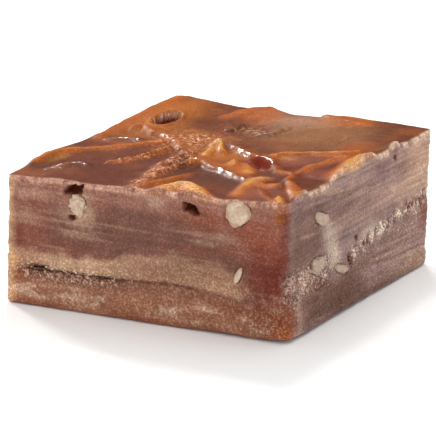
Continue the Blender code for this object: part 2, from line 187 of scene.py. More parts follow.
# Nut pieces in the cuts: the side, the middle, half sizes along, up and into the slice, the tilt in degrees,
# how many blunt corners the outline has and how ragged it is.
NUT_SHAPES = {
    "nut_front_left": ("front", (-13.9, 21.0), (1.6, 2.1, 1.6), -12, 4, 0.6),
    "nut_front_right": ("front", (19.0, 24.2), (2.3, 2.5, 1.8), -14, 5, 0.25),
    "nut_front_sliver": ("front", (18.5, 12.2), (0.55, 1.7, 1.4), -24, 2, 0.2),
    "nut_right_long": ("right", (-16.2, 20.5), (2.9, 1.15, 1.6), -24, 3, 0.3),
    "nut_right_rough": ("right", (-17.6, 12.2), (2.7, 1.5, 1.8), -12, 5, 0.5),
    "nut_right_low": ("right", (-8.4, 8.9), (2.6, 0.8, 1.6), -20, 3, 0.3),
}

# Scratches from the knife on the right cut: where each starts and ends along the side and up, and its colour.
SCRATCHES = [
    ((-28, 26.2), (-8, 23.2), "umber"),
    ((-27.5, 24.3), (-4, 22.2), "umber"),
    ((-8, 23.2), (9, 21.3), "umber"),
    ((-20, 25.6), (-9, 24.4), "tan"),
    ((12, 18.2), (28, 16.4), "tan"),
    ((-2, 19.5), (15, 18.6), "tan"),
    ((4, 6.4), (12, 5.4), "pit"),
    ((12, 5.4), (26, 4.3), "umber"),
    ((3, 7.1), (20, 5.9), "fawn"),
    ((6, 8.6), (25, 7.2), "fawn"),
    ((8, 4.9), (27, 3.6), "fawn"),
    ((-1, 8.0), (11, 7.3), "umber"),
    ((-24, 19), (-19, 18.4), "tan"),
]

# Stains, smears and patches of colour on the cut sides, some of them painted light, in the order in which
# they lie over each other: the colour, the middle along the side and up, the reach, and how strong it is.
STAINS = {
    "front": [
        ("rosewood", (-24, 15), (4, 7), 0.45),
        ("fawn", (-24.5, 17.5), (2.6, 1.6), 0.4),
        ("fawn", (-23, 22.2), (4, 1.0), 0.35),
        ("rosewood", (24, 20), (6, 5), 0.8),
        ("rosewood", (12, 22), (5, 2.5), 0.75),
        ("rosy", (21, 25.2), (5, 2), 0.5),
        ("umber", (0, 19.5), (13, 3.4), 0.45),
        ("umber", (3, 10.5), (7, 2.4), 0.35),
        ("umber", (13, 13.5), (8, 3), 0.4),
        ("maroon", (24.5, 12.5), (4.6, 5), 0.8),
        ("maroon", (29, 16), (2.5, 8), 0.7),
        ("rust", (19, 5.4), (7, 1.8), 0.4),
        ("rust", (27, 4), (4.4, 3.6), 0.75),
        ("ochre", (28, 2.0), (2.0, 1.6), 0.5),
        ("ochre", (28, 24.6), (1.6, 2.6), 0.75),
        ("honey", (29.6, 3), (0.6, 3.5), 0.6),
        # The ochre, amber and rust at the front left upright edge are caramel, with the painted glow of light
        # coming through the thin edge.
        ("ochre", (-29.6, 12), (0.9, 14), 0.45),
        ("amber", (-28, 8.4), (1.6, 2.2), 0.6),
        ("rust", (-26.8, 6.7), (2.0, 1.6), 0.7),
        ("maroon", (-26.4, 13.6), (1.0, 2.6), 0.5),
        ("fawn", (-13.2, 20), (3.0, 3.2), 0.75),
        ("fawn", (2.6, 23.9), (1.8, 1.1), 0.55),
        ("fawn", (12, 17.6), (3.5, 0.6), 0.35),
        ("maroon", (16.8, 22.6), (1.3, 1.6), 0.5),
    ],
    "right": [
        ("amber", (-29.6, 25), (1.3, 1.8), 0.6),
        ("umber", (-23, 17), (8, 9), 0.75),
        ("umber", (-8, 21), (10, 4), 0.35),
        ("fawn", (-24, 10.8), (5.5, 2.4), 0.75),
        ("maroon", (-31, 17), (2.2, 11), 0.9),
        ("rosewood", (-18, 8.2), (4, 1.4), 0.7),
        ("cream", (-13.8, 17.4), (1.8, 2.2), 0.45),
        ("cream", (-12, 14.6), (2.2, 2.6), 0.5),
        ("cream", (-10.6, 11.6), (2.4, 1.8), 0.55),
        # Darker towards the bottom of the right cut.
        ("umber", (-9, 3.5), (10, 4), 0.9),
        ("bark", (-8, 4), (8, 2.6), 0.3),
        ("umber", (-19, 5), (6, 3.4), 0.7),
        ("umber", (6, 1.2), (14, 1.3), 0.6),
        ("tan", (24, 20), (8, 7), 0.8),
        ("tan", (8, 18), (9, 2.6), 0.3),
        ("cream", (3.3, 12.8), (5, 1.8), 0.5),
        ("maroon", (25.5, 10.5), (2.2, 3.0), 0.6),
        ("rust", (27.6, 7), (1.0, 5), 0.7),
        ("tan", (22, 2), (7, 2.2), 0.5),
        ("rust", (13.6, 25.6), (1.3, 1.2), 0.6),
        ("honey", (-3, 27.2), (3.2, 1.0), 0.5),
        ("fawn", (-24.6, 4), (1.1, 5), 0.6),
        ("rust", (-28.6, 3.5), (3.0, 4), 0.95),
        ("amber", (-28.0, 1.6), (2.0, 1.4), 0.5),
    ],
}

# The same on the poured top, with places in the plan. The deep ones lie over the caramel, and are painted
# shade and light: brick, the caramel's red with painted shade on the pit's walls; maroon, painted shade in
# the pit and the furrow; bark, painted shade on the shaded faces of the folds; honey, the caramel of the
# lumps' tops with painted light where they are lit.
TOP_SHADE_AND_LIGHT = [
    ("brick", (9.6, -4.3), (2.7, 2.2), 0.95),
    ("brick", (11.4, -6.6), (2.2, 2.0), 0.8),
    ("maroon", (8.6, -5.4), (1.2, 1.2), 0.7),
    ("maroon", (-0.1, 3.1), (2.4, 1.3), 0.9),
    ("bark", (0.8, -13.6), (3.4, 2.2), 0.9),
    ("bark", (5.6, -16.6), (3.8, 2.4), 0.95),
    ("bark", (10.8, -19.2), (3.6, 2.2), 0.85),
    ("bark", (-1.6, -19.5), (2.2, 4.5), 0.5),
    ("honey", (-2.9, 1.9), (1.0, 1.3), 0.8),
    ("honey", (16.8, -17.2), (1.4, 1.6), 0.7),
    ("honey", (6.4, -28), (3.0, 1.8), 0.3),
]
# Patches of colour on the poured top in the same way, laid under the caramel. Most are the skin's own colour;
# the paler taupe at the back right is painted sheen over its brown, and the cocoa just in front of the main
# step is painted shade.
TOP_STAINS_SHADE_AND_SHEEN = [
    ("taupe", (11, 16), (12, 12), 0.95),
    ("cocoa", (-16, -15), (9, 8), 0.45),
    ("cocoa", (12, -24), (7, 5), 0.45),
    ("cocoa", (6, 8), (7, 3), 0.4),
    ("tan", (2, 26), (10, 5), 0.4),
    ("ochre", (-22, 16), (7, 16), 0.9),
    ("cocoa", (-12, 17), (4, 5), 0.7),
    ("amber", (-6, 27), (4, 6), 0.9),
    ("ochre", (-9, 3), (7, 7), 0.8),
    ("cocoa", (-17, -17), (8, 9), 0.9),
    ("cocoa", (1, -13), (5, 5), 0.9),
    ("cocoa", (12, -21), (6, 4), 0.9),
    ("ochre", (2, -3), (5, 4), 0.8),
    ("amber", (9, -10), (4, 4), 0.8),
    ("rosewood", (16, -2), (4, 4), 0.8),
    ("amber", (23, 6), (3, 6), 0.8),
    ("gold", (12, -1.5), (3, 1.4), 0.6),
    ("gold", (-26, -16), (1.6, 5), 0.5),
    ("maroon", (23.5, -9), (3, 4), 0.6),
    ("rosewood", (20, -26), (5, 4), 0.7),
    ("ochre", (13, 28), (6, 4), 0.7),
]

# Patches of sugar grain on the top: middle, reach and how thick.
GRAIN_PATCHES = [
    ((-9, 3), (6.5, 6), 1.0),
    ((-4.8, -15), (2, 10), 1.0),
    ((7, -29), (5, 3), 0.35),
    ((-2, 15), (6, 3), 0.7),
]

# Swells of the poured top: height, middle and reach.
TOP_SWELLS = [
    (1.0, (-24, 22), (8, 13)),
    (0.9, (-8, 4), (7, 7)),
    (0.9, (-30, -15), (4, 8)),
    (0.6, (-18, -33), (5, 8)),
    (1.2, (-3, -34), (9, 8)),
    (0.5, (20, 34), (16, 8)),
]


def ease(value, start, end):
    """0 below start, 1 above end, and a smooth climb between."""
    share = np.clip((value - start) / (end - start), 0, 1)
    return share * share * (3 - 2 * share)


def bell(away, reach):
    """1 at no distance, and a smooth fall to nothing over about twice the reach."""
    return np.exp(-((away / reach) ** 2))


def swell(x, y, middle, reach):
    """A round bump of height 1 at middle that fades over reach."""
    return np.exp(-(((x - middle[0]) / reach[0]) ** 2) - ((y - middle[1]) / reach[1]) ** 2)


def noise_at(x, y, z, grain, stretch=(1, 1, 1), seed=0):
    """Smooth noise from about -1 to 1 whose lumps are grain millimetres across, times stretch."""
    step = np.array(stretch) * grain
    places = zip(x / step[0] + 31.7 * seed, y / step[1] - 17.3 * seed, z / step[2] + 5.9 * seed)
    return np.array([noise.noise(Vector(place)) for place in places]) * 1.6


def smooth_line(points):
    """The points joined by a Catmull-Rom curve."""
    points = np.array(points, float)
    ends = [2 * points[0] - points[1], *points, 2 * points[-1] - points[-2]]
    line = []
    for before, start, end, after in zip(ends, ends[1:], ends[2:], ends[3:]):
        for t in np.arange(CURVE_STEPS) / CURVE_STEPS:
            straight = 2 * start + (end - before) * t
            bend = (2 * before - 5 * start + 4 * end - after) * t**2
            twist = (3 * start - before - 3 * end + after) * t**3
            line.append((straight + bend + twist) / 2)
    return np.array([*line, points[-1]])


def nearest_on(line, x, y):
    """For each point, its distance from the line, the side it lies on and the line's height there."""
    best = np.full(np.shape(x), np.inf)
    side = np.zeros_like(best)
    height = np.zeros_like(best)
    for start, end in zip(line[:-1], line[1:]):
        step = end - start
        share = ((x - start[0]) * step[0] + (y - start[1]) * step[1]) / (step[0] ** 2 + step[1] ** 2)
        share = np.clip(share, 0, 1)
        away_x = x - start[0] - share * step[0]
        away_y = y - start[1] - share * step[1]
        away = np.hypot(away_x, away_y)
        closer = away < best
        best = np.where(closer, away, best)
        side = np.where(closer, step[0] * away_y - step[1] * away_x, side)
        height = np.where(closer, start[2] + share * step[2], height)
    return best, side, height


def plain_top(x, y):
    """The poured top before its folds: a gentle rise to the right, and its swells."""
    rise = 1.6 * ease(x, -4, 22) * (1 - 0.3 * ease(y, 6, 26))
    swells = sum(height * swell(x, y, middle, reach) for height, middle, reach in TOP_SWELLS)
    return SLAB_HEIGHT + rise + swells


def folded_top(x, y):
    """Height, caramel, wetness, furrow depth and grain of the top at each place."""
    height = plain_top(x, y)
    caramel = np.zeros_like(height)
    wet = np.zeros_like(height)
    grain = np.zeros_like(height)
    for middle, reach, amount in GRAIN_PATCHES:
        grain += (amount - grain) * swell(x, y, middle, reach)
    # The folds wander a little, so that no crest is a clean curve.
    wander_x = x + 0.35 * noise_at(x, y, 0 * x, 3.0, seed=1)
    wander_y = y + 0.35 * noise_at(x, y, 0 * x, 3.0, seed=2)
    furrow = np.zeros_like(height)
    for name, (left, right, warmth, wetness, points) in FOLDS.items():
        away, side, crest = nearest_on(smooth_line(points), wander_x, wander_y)
        reach = np.where(side > 0, left, right)
        pull = np.exp(-((away / reach) ** FOLD_SHARPNESS))
        furrow = np.maximum(furrow * (1 - pull), pull * np.clip((height - crest) / 1.2, 0, 1))
        height += (crest - height) * pull
        caramel += (warmth - caramel) * bell(away, reach + 0.3)
        wet += (wetness - wet) * bell(away, 0.45 * reach + 0.3)
        if name in GRAINY:
            grain += (1 - grain) * bell(away, 0.8 * reach)
    return height, caramel, wet, furrow, grain


def seam_height(x, y):
    """The top of the base layer."""
    climb = SEAM_CLIMB * ease(y, -28, 36)
    bulge = 0.9 * swell(x, y, (6, -31), (10, 14))
    dip = 1.5 * swell(x, y, (24, -31), (5.5, 8))
    return SEAM_HEIGHT + climb + bulge - dip


def pale_height(x, y):
    """The top of the pale layer."""
    front = PALE_FRONT_LEFT + PALE_FRONT_MORE * ease(x, -12, 2)
    return seam_height(x, y) + front + (PALE_BACK - front) * ease(y, -22, 4)


def crack_opening(x, y):
    """How wide the seam gapes: only on the left of the front."""
    ragged = ease(-x, 0, 10) * ease(x, -28, -24) * ease(-y, 24, 30)
    uneven = 0.45 + 0.6 * noise_at(x, y, 0 * x, 4.0, seed=15) + 0.5 * noise_at(x, y, 0 * x, 1.4, seed=16)
    return ragged * uneven.clip(0.05, 1.5) * bpy.context.scene.fudge_sizes.crack / MM


def under_height(x, y):
    """The underside, lifted a little at the worn near corner and along two edges."""
    lift = 0.5 * swell(x, y, (28, -29), (6, 6)) + 0.6 * swell(x, y, (15, -32), (6, 5))
    return lift + 0.5 * swell(x, y, (31, -8), (7, 20))


def under_crack(x, y):
    """The lower lip of the crack, or the seam where it is closed."""
    return seam_height(x, y) - crack_opening(x, y) / 2


def over_crack(x, y):
    """The upper lip of the crack."""
    return seam_height(x, y) + crack_opening(x, y) / 2


def between_corners(insets, across, along):
    """The x and y at shares across and along the plan whose corners stand in by the insets."""
    half = np.array((WIDTH, DEPTH)) / 2
    signs = ((-1, -1), (1, -1), (-1, 1), (1, 1))
    corners = [(np.array(sign) * (half - inset)).reshape(2, 1) for sign, inset in zip(signs, insets)]
    front = corners[0] + (corners[1] - corners[0]) * across
    back = corners[2] + (corners[3] - corners[2]) * across
    return front + (back - front) * along


def plan_point(across, along, height):
    """Where the shares across and along the slice lie at this height: its sides lean a little."""
    under = between_corners(UNDER_INSET, across, along)
    top = between_corners(TOP_INSET, across, along)
    return under + (top - under) * height / SLAB_HEIGHT


def rounded(across, along):
    """Draws the corners of the unit square in to quarter circles. Also gives the way out at each place."""
    radius = EDGE_RADIUS / WIDTH
    shares = np.array((across, along)) - 0.5
    beyond = np.maximum(np.abs(shares) - (0.5 - radius), 0)
    length = np.maximum(np.hypot(*beyond), 1e-9)
    pull = np.where(beyond.min(axis=0) > 0, beyond.max(axis=0) / length, 1)
    return 0.5 + shares - np.sign(shares) * beyond * (1 - pull), np.sign(shares) * beyond / length


def outline(run, rise, middle, halves, tilt):
    """How far out each place lies from the middle of a tilted oval: 1 on its rim. Also the angle there."""
    turn = math.radians(tilt)
    along = (run - middle[0]) * math.cos(turn) + (rise - middle[1]) * math.sin(turn)
    up = (rise - middle[1]) * math.cos(turn) - (run - middle[0]) * math.sin(turn)
    return np.hypot(along / halves[0], up / halves[1]), np.arctan2(up / halves[1], along / halves[0])


def blunt(angle, corners):
    """The radius of a nut's outline with this many blunt corners."""
    return 1 + 0.035 * np.cos(corners * (angle - 0.4)) + 0.03 * np.cos(3 * angle + corners)


def beside(run, rise, start, end):
    """How far each place on a cut lies from the straight line between two places."""
    return nearest_on(np.array([(*start, 0), (*end, 0)], float), run, rise)[0]


def cut_marks(x, y, z, front, right):
    """What the knife left on the sides: how deep the surface lies, how much painted shade lies in its cracks,
    pits, bubbles and grooves, how crumbly it is, and the textures that the paint follows. Front and right say
    how far each place faces the front or the right."""
    seam = seam_height(x, y)
    pale_top = pale_height(x, y)
    lumps = noise_at(x, y, z, 2.4, seed=3)
    grit = noise_at(x, y, z, 0.9, seed=4)
    drag = noise_at(x, y, z + 0.08 * y, 0.75, stretch=(18, 18, 1), seed=5)
    depth = 0.10 * lumps + (0.05 + 0.06 * right) * drag + 0.05 * grit

    # On the right cut the knife pulled the pale layer out in upright, uneven ridges about 1 mm apart.
    leaning = y - 0.35 * (z - seam)
    ridges = 0.7 * noise_at(x, leaning, z, 0.75, stretch=(1, 1, 2.4), seed=10)
    ridges = ridges + 0.5 * noise_at(x, leaning, z, 1.8, stretch=(1, 1, 1.2), seed=11)
    torn = right * ease(y, *TORN_FROM)
    torn_band = torn * bell(z - seam - TORN_MIDDLE - 0.5 * lumps, TORN_REACH)

    # The seam crumbles along the crack, and the pale layer all the way round.
    ragged_crack = front * ease(-x, 2, 12) * ease(x, *CRACK_FROM)
    elsewhere = (1 - front) * (1 - right)
    granular = right * ease(-y, 11, 15) * ease(z, 6.5, 8.5) * (1 - ease(z, 12.5, 14.5))
    band = ease(z, seam - 0.8, seam + 0.6) * (1 - ease(z, pale_top - 1.4, pale_top + 0.6))
    below_crack = ease(z, seam - 2.6, seam - 1.2) * (1 - ease(z, seam - 0.4, seam)) * ragged_crack
    near_seam = bell(z - seam, 0.9)
    near_corner = 0.35 * front * swell(x, z, (24, 4), (6, 3.5))
    gritty = band * (0.2 * (1 - torn) + 0.5 * elsewhere) + 0.8 * torn_band + 0.9 * near_seam * ragged_crack
    gritty = np.clip(gritty + 0.8 * below_crack + 0.9 * granular + near_corner, 0, 1)
    pits = ease(noise_at(x, y, z, 1.3, stretch=(1.5, 1.5, 1), seed=6), 0.2, 0.7)
    pitted = pits * near_seam * (ragged_crack + 0.5 * elsewhere)
    depth += 0.16 * gritty * grit + torn_band * (0.75 * ridges + 0.1) + 0.8 * pitted + 0.25 * granular * pits

    # The crack's line, with painted shade along it: sharp on the left, where it is also a groove, and soft
    # where it closes towards the near corner.
    line = bell(z - seam - 0.25 * grit - 0.1 * lumps, 0.32)
    long_line = front * ease(-x, -13, -8) * ease(x, *CRACK_FROM) * line
    soft_line = front * ease(x, -4, 4) * (1 - ease(x, 17, 21)) * bell(z - seam - 0.1 * grit, 0.45)
    depth += 0.3 * long_line
    # Painted shade in the crack's line and its soft end, in the pits, and in the gaps between the torn
    # ridges.
    torn_gaps = torn_band * ease(ridges, 0.12, 0.45)
    gaps = (0.7 * long_line, 0.3 * soft_line, 0.8 * pitted, 0.9 * torn_gaps, 0.4 * granular * pits)
    painted_shade = np.maximum.reduce(gaps)

    # Bubbles: a pit in the surface, with painted shade inside it, darkest within its rim.
    for run, side, holes in ((x, front, FRONT_HOLES), (y, right, RIGHT_HOLES)):
        for middle, halves, tilt, deep in holes:
            edge, _ = outline(run, z, middle, halves, tilt)
            edge = edge + 0.16 * grit + 0.18 * lumps
            depth += deep * np.sqrt(np.clip((1 - edge) / 0.3, 0, 1)) * (side > 0.5)
            inside = (0.97 - 0.75 * ease(edge, 0.95, 1.05)) * (edge < 1.14)
            painted_shade = np.maximum(painted_shade, inside * (side > 0.5))
    # Each nut sits in a dent with a groove round it, with painted shade in the groove on the front cut.
    for side, middle, halves, tilt, corners, ragged in NUT_SHAPES.values():
        run, facing = (x, front) if side == "front" else (y, right)
        edge, angle = outline(run, z, middle, halves, tilt)
        edge = edge / blunt(angle, corners) + 0.07 * lumps + (0.05 + 0.2 * ragged) * grit
        groove = bell(edge - 1.05, 0.08) * (facing > 0.5)
        depth += (0.2 * groove + 0.7 * (edge < 0.95)) * (facing > 0.5)
        painted_shade = np.maximum(painted_shade, 0.45 * front * groove * ease(lumps + grit, -0.1, 0.8))
    scratched = np.zeros_like(x)
    for start, end, _ in SCRATCHES:
        away = beside(y + 0.3 * lumps, z + 0.12 * lumps, start, end)
        scratched = np.maximum(scratched, bell(away, 0.22) * right)
    return depth + 0.12 * scratched, painted_shade, gritty, (lumps, grit, drag, ridges * torn_band)


def painted(name, count):
    """Paint of the named colour for this many places."""
    return np.tile(np.array(getattr(bpy.context.scene.fudge_colours, name)[:3]), (count, 1))


def lay(paint, name, share):
    """Lays the named colour over the paint."""
    paint += (painted(name, 1) - paint) * np.clip(share, 0, 1)[:, None]


def stain(run, rise, middle, reach, coarse, fine):
    """How strongly a stain shows: evenly within its ragged outline, and fading over its rim."""
    edge = ((run - middle[0]) / reach[0]) ** 2 + ((rise - middle[1]) / reach[1]) ** 2
    return np.exp(-((edge * (1 + 0.4 * coarse + 0.2 * fine).clip(0.3, 2)) ** 1.4))


def side_paint(x, y, z, front, right, painted_shade, gritty, textures):
    """The colours of the cut sides."""
    lumps, grit, drag, ridges = textures
    clouds = noise_at(x, y, z, 5.0, stretch=(1.8, 1.8, 1), seed=13)
    patches = noise_at(x, y, z, 3.0, stretch=(2.2, 2.2, 1), seed=17)
    seam = seam_height(x, y) + 0.1 * lumps
    pale_top = pale_height(x, y)
    paint = painted("plum", len(x))
    lay(paint, "rosy", ease(z + 1.4 * clouds + 0.8 * lumps, 17.5, 24))
    lay(paint, "rosewood", 0.35 * ease(patches, 0.1, 0.9) * (1 - right))
    # The right cut is painted paler and greyer than the front: painted light and sheen from the right.
    lay(paint, "mauve", right * (0.85 + 0.15 * clouds))
    lay(paint, "tan", 0.3 * right * ease(patches, 0.0, 0.9) * ease(z, 12, 18))
    lay(paint, "umber", 0.3 * right * ease(-patches, 0.1, 0.9))
    lay(paint, "fawn", (0.3 - 0.08 * right) * ease(drag, 0.2, 0.9))
    lay(paint, "umber", (0.3 - 0.08 * right) * ease(-drag, 0.2, 0.9))

    # The base: brown, with paler mottles and a reddish foot in front, and greyer on the right, where the
    # painted light of the right cut stays on it.
    base = 1 - ease(z, seam - 0.15, seam + 0.15)
    lay(paint, "base", base * (1 - 0.85 * right))
    spots = noise_at(x, y, z, 1.5, stretch=(2.6, 2.6, 1), seed=7)
    mottled = ease(z, 0.8, 2.2) * (1 - ease(z + 0.5 * patches, seam - 3.6, seam - 2.2)) * (1 - right)
    lay(paint, "fawn", 0.8 * ease(spots + 0.5 * grit + 0.5 * clouds, -0.1, 0.8) * mottled)
    foot = 1 - ease(z + 0.5 * lumps, 0.8, 1.8)
    lay(paint, "rosewood", 0.6 * foot * (1 - right) * ease(patches, -0.5, 0.5))
    lay(paint, "umber", 0.45 * base * ease(z + 0.5 * grit, seam - 3.0, seam - 1.6) * (1 - 0.5 * right))

    # The pale layer fades out towards the near corner. On the right it is as brown as the rest between its
    # torn ridges.
    soft = 0.9 * lumps + 0.35 * grit
    pale = ease(z, seam - 0.1, seam + 0.3) * (1 - ease(z + soft, pale_top - 1.2, pale_top + 1.4))
    shown = (1 - front * ease(x + 1.5 * lumps, 17, 20.5)) * (1 - right)
    lay(paint, "pale", pale * shown * (1 - 0.25 * ease(grit, 0.1, 0.8)))
    lay(paint, "peach", 0.35 * pale * shown * ease(z + lumps, pale_top - 2.5, pale_top))
    lay(paint, "base", 0.6 * pale * shown * ease(x + 2 * clouds, -16, 0))

    for side, stains in STAINS.items():
        run, facing = (x, front) if side == "front" else (y, right)
        for name, middle, reach, share in stains:
            lay(paint, name, share * facing * stain(run, z, middle, reach, lumps, grit))
    for start, end, name in SCRATCHES:
        away = beside(y + 0.3 * lumps, z + 0.12 * lumps, start, end)
        lay(paint, name, 0.55 * right * bell(away, 0.24) * ease(drag + grit, -1.2, 0.2))
    # Sugar shows golden where the light comes through the thin upright edge at the front left.
    thin_edge = (1 - ease(x - 0.6 * lumps, -29.4, -26.4)) * ease(-y, 29.8, 31)
    lay(paint, "honey", 0.85 * thin_edge)
    lay(paint, "peach", 0.5 * right * ease(y + 0.3 * lumps, 26.5, 28.8) * ease(z, 13, 16))
    # Cream on the standing crests of the torn ridges: the pale layer's sugar, with painted highlight on the
    # crests.
    lay(paint, "cream", 0.95 * ease(-ridges, 0.05, 0.35))
    lay(paint, "cream", 0.4 * gritty * ease(grit, 0.1, 0.6) * (1 - 0.5 * right))
    # Painted shade in the cracks, pits, bubbles and grooves of the cuts.
    lay(paint, "pit", painted_shade)
    return paint


def top_marks(x, y, height, grain):
    """The top's bubble and grain: the new height, how deep in the bubble each place is, and the textures
    that the paint follows."""
    flat = np.zeros_like(x)
    grit = noise_at(x, y, flat, 0.75, seed=8)
    lumps = noise_at(x, y, flat, 1.9, seed=9)
    height = height + 0.06 * lumps + grain * 0.14 * grit
    (hole_x, hole_y), halves, deep = TOP_HOLE
    edge = np.hypot((x - hole_x) / halves[0], (y - hole_y) / halves[1]) + 0.01 * lumps
    height = height + 0.35 * bell(edge - 1.12, 0.16)
    sunk = deep * np.clip(1 - edge**2, 0, 1) ** 0.75
    return height - sunk, sunk, (lumps, grit)


def top_paint(x, y, caramel, furrow, grain, sunk, textures):
    """The colours of the poured skin: chocolate in the flats, amber and then gold on the folds, with painted
    shade in the furrows and painted light and shade in the bubble.
    """
    lumps, grit = textures
    clouds = noise_at(x, y, 0 * x, 6.0, seed=14)
    paint = painted("cocoa", len(x))
    lay(paint, "ochre", 0.3 * ease(clouds, -0.2, 0.8))
    # Patches of the skin's colour, with painted sheen at the back right and painted shade in front of the
    # main step.
    for name, middle, reach, share in TOP_STAINS_SHADE_AND_SHEEN:
        lay(paint, name, share * stain(x, y, middle, reach, clouds, lumps))
    lay(paint, "amber", ease(caramel + 0.1 * clouds, 0.15, 0.6))
    lay(paint, "gold", ease(caramel + 0.12 * lumps, 0.5, 1.1))
    lay(paint, "gold", 0.45 * grain * ease(grit, 0.1, 0.6))
    lay(paint, "peach", 0.4 * grain * ease(grit, 0.3, 0.8))
    lay(paint, "bark", 0.6 * grain * ease(-grit, 0.1, 0.6))
    # Painted shade in the furrows.
    lay(paint, "maroon", ease(furrow, 0.2, 0.9))
    # Painted shade in the pit, the furrow and on the shaded faces of the folds, and painted light on the lit
    # tops of the lumps.
    for name, middle, reach, share in TOP_SHADE_AND_LIGHT:
        lay(paint, name, share * stain(x, y, middle, reach, 0.6 * lumps, grit))
    # The bubble in the top: painted light on the upper part of its far wall, then painted shade deeper down,
    # dark red and then as dark as a pit.
    lay(paint, "peach", 0.9 * ease(sunk, 0.03, 0.3))
    lay(paint, "maroon", ease(sunk, 0.5, 1.3))
    lay(paint, "pit", ease(sunk, 1.2, 2.0))
    return paint


def gridded_box(columns, lines, rows):
    """A box from 0 to 1 each way, in coarse cells, whose sides and top are then cut finer."""
    mesh = bmesh.new()
    bmesh.ops.create_cube(mesh, size=1, matrix=Matrix.Translation((0.5, 0.5, 0.5)))
    for axis, cuts in ((2, rows - 1), (0, columns - 1), (1, lines - 1)):
        runs = [e for e in mesh.edges if abs((e.verts[1].co - e.verts[0].co).normalized()[axis]) > 0.99]
        bmesh.ops.subdivide_edges(mesh, edges=runs, cuts=cuts)
    mesh.normal_update()
    shown = {edge for face in mesh.faces if face.normal.z > -0.5 for edge in face.edges}
    bmesh.ops.subdivide_edges(mesh, edges=list(shown), cuts=FINE - 1, use_grid_fill=True)
    return mesh


def finished(name, mesh, look, replaced, paint, masks):
    """Makes the piece from its mesh, with its paint and masks as attributes, and puts it in the frame."""
    data = bpy.data.meshes.new(name)
    mesh.to_mesh(data)
    mesh.free()
    data.shade_smooth()
    data.materials.append(look)
    colours = np.ones((len(paint), 4), np.float32)
    colours[:, :3] = paint
    data.attributes.new("paint", "FLOAT_COLOR", "POINT").data.foreach_set("color", colours.ravel())
    for mask, values in masks.items():
        data.attributes.new(mask, "FLOAT", "POINT").data.foreach_set("value", np.asarray(values, np.float32))
    piece = bpy.data.objects.new(name, data)
    bpy.context.scene.collection.objects.link(piece)
    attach(piece, "root")
    if replaced:
        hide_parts(*replaced)
    return piece


def worn_away(height):
    """How far a rim that is worn round falls back at each height over it."""
    lean = np.clip(1 - height / RIM_RADIUS, 0, 1)
    return RIM_RADIUS * (1 - np.sqrt(1 - lean**2))


def layer_piece(name, node, floor, roof, rows, look):
    """A layer between two heights, with the marks of the knife on its sides. A layer with no roof of its own
    is the poured one, with the folded top."""
    poured = roof is None
    cell = bpy.context.scene.fudge_sizes.cell / MM
    columns, lines = (round(side / cell / FINE) for side in (WIDTH, DEPTH))
    mesh = gridded_box(columns, lines, rows)
    mesh.verts.ensure_lookup_table()
    shares = np.array([vert.co for vert in mesh.verts])
    (across, along), way_out = rounded(shares[:, 0], shares[:, 1])
    x, y = plan_point(across, along, SLAB_HEIGHT / 2)
    low = floor(x, y)
    on_side = np.abs(shares[:, :2] - 0.5).max(axis=1) > 0.5 - ON_FACE
    on_roof = shares[:, 2] > 1 - ON_FACE
    front, right = np.clip((-way_out[1], way_out[0]), 0, 1)
    if poured:
        high, caramel, wet, furrow, grain = folded_top(x, y)
        # The rim of the top is turned over a little.
        edge = np.minimum.reduce([across * WIDTH, (1 - across) * WIDTH, along * DEPTH, (1 - along) * DEPTH])
        high = high - 0.8 * worn_away(edge)
    else:
        high = roof(x, y)
    z = low + (high - low) * shares[:, 2]
    if poured:
        roof_z, sunk, textures = top_marks(x, y, high, grain)
        inner = ease(edge, 0.0, 0.6)
        z = np.where(on_roof, high + (roof_z - high) * inner, z)
    x, y = plan_point(across, along, z)
    depth, painted_shade, gritty, side_textures = cut_marks(x, y, z, front, right)
    depth = (depth + worn_away(z - under_height(x, y))) * on_side
    x = x - way_out[0] * depth
    y = y - way_out[1] * depth
    # The paint of the sides carries on over the rim of the top, until the skin takes over.
    paint = side_paint(x, y, z, front, right, painted_shade * on_side, gritty, side_textures)
    gloss = np.zeros(len(x))
    if poured:
        skin = top_paint(x, y, caramel, furrow, grain, sunk, textures)
        under_rim = bell(np.maximum(high - z, 0), 0.4)
        shown = np.where(on_roof, ease(edge, 0.15, 0.7), under_rim * ease(caramel, 0.3, 0.9))
        paint += (skin - paint) * shown[:, None]
        # Paler along the broken rim: cream on the right, and browner in front.
        paler_rim = under_rim * np.where(on_roof, 1 - ease(edge, 0.2, 0.8), 1)
        paler_rim = paler_rim * ease(textures[1] + textures[0], -0.9, 0.1)
        on_right = ease(across * WIDTH, WIDTH - 1.5, WIDTH - 0.8)
        lay(paint, "peach", 0.6 * paler_rim * (1 - on_right) * (1 - 0.7 * ease(caramel, 0.3, 1)))
        lay(paint, "crust", 0.8 * paler_rim * on_right * ease(along * DEPTH, 4, 12))
        lay(paint, "gold", 0.7 * under_rim * on_right * swell(0 * y, y, (0, -3), (1, 6)))
        # The skin is satin. It is wet only where a fold was drawn out, and there it breaks up in lumps.
        patchy = ease(textures[0] + 0.9 * textures[1], -0.6, 0.2)
        gloss = np.where(on_roof, ease(edge, 0.1, 0.8), 0) * (0.3 * (1 - 0.7 * grain) + 0.7 * wet * patchy)
        gloss = gloss * (1 - ease(sunk, 0.0, 0.4))
        gritty = np.where(on_roof, 0.1 + 0.9 * grain, gritty)
    # A layer's own rims are sharp, apart from the turned-over rim of the poured top.
    rim = on_side & ((shares[:, 2] < ON_FACE) | (on_roof & (not poured)))
    for edge_line in mesh.edges:
        edge_line.smooth = not all(rim[vert.index] for vert in edge_line.verts)
    for vert, place in zip(mesh.verts, np.stack((x, y, z), axis=1) * MM):
        vert.co = place
    masks = {"gloss": gloss, "crumbly": gritty, "drawn": 0.4 + 0.6 * right}
    return finished(name, mesh, look, [node], paint, masks)


